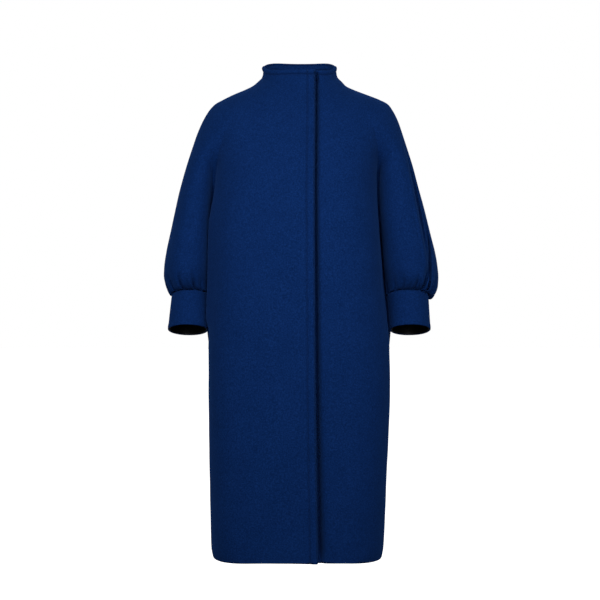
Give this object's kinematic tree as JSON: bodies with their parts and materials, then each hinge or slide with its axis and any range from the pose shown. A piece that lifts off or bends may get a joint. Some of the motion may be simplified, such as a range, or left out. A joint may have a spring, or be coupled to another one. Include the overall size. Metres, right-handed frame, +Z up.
{
  "type": "cocoon coat",
  "caption": "Knee-length cocoon coat with a grown-on funnel collar, a concealed front closure and kimono sleeves gathered into wide cuffs.",
  "frame": {"origin": "at the base of the neck, between the shoulders, where the wearer carries the coat", "axes": "+Z up, the front towards -Y, the wearer's left towards +X"},
  "size_m": [0.5728, 0.3495, 1.034],
  "materials": {
    "wool": "felted, with a short nap",
    "lining": "smooth"
  },
  "bodies": {
    "root": {"front_right": "wool", "front_left": "wool", "back": "wool", "cuff_right": "wool", "cuff_left": "wool", "cuff_lining_right": "lining", "cuff_lining_left": "lining"}
  },
  "joints": []
}
